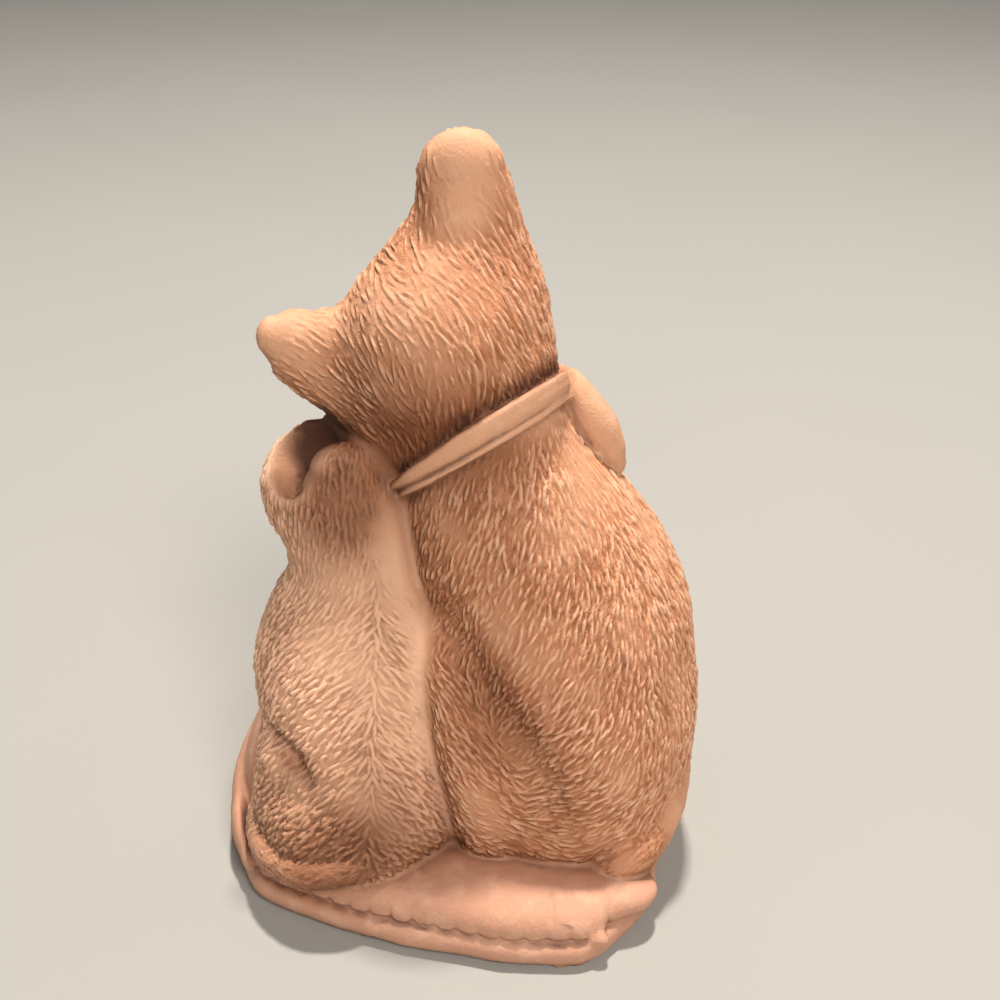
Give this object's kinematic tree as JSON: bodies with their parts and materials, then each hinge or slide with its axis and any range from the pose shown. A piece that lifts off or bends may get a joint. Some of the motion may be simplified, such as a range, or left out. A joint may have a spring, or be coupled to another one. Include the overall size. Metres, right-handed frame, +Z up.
{
  "type": "ceramic cat figurine",
  "caption": "Moulded terracotta ornament of a mother cat leaning her head over a kitten, both seated on a sewn cushion; stands on its flat underside.",
  "frame": {"origin": "middle of the box round the figurine, on its flat underside", "axes": "+Z up, -Y the way the cats look, +X the kitten's side"},
  "size_m": [0.099, 0.0908, 0.15],
  "materials": {
    "terracotta": "matt, unglazed"
  },
  "bodies": {
    "root": {"figurine": "terracotta"}
  },
  "joints": []
}
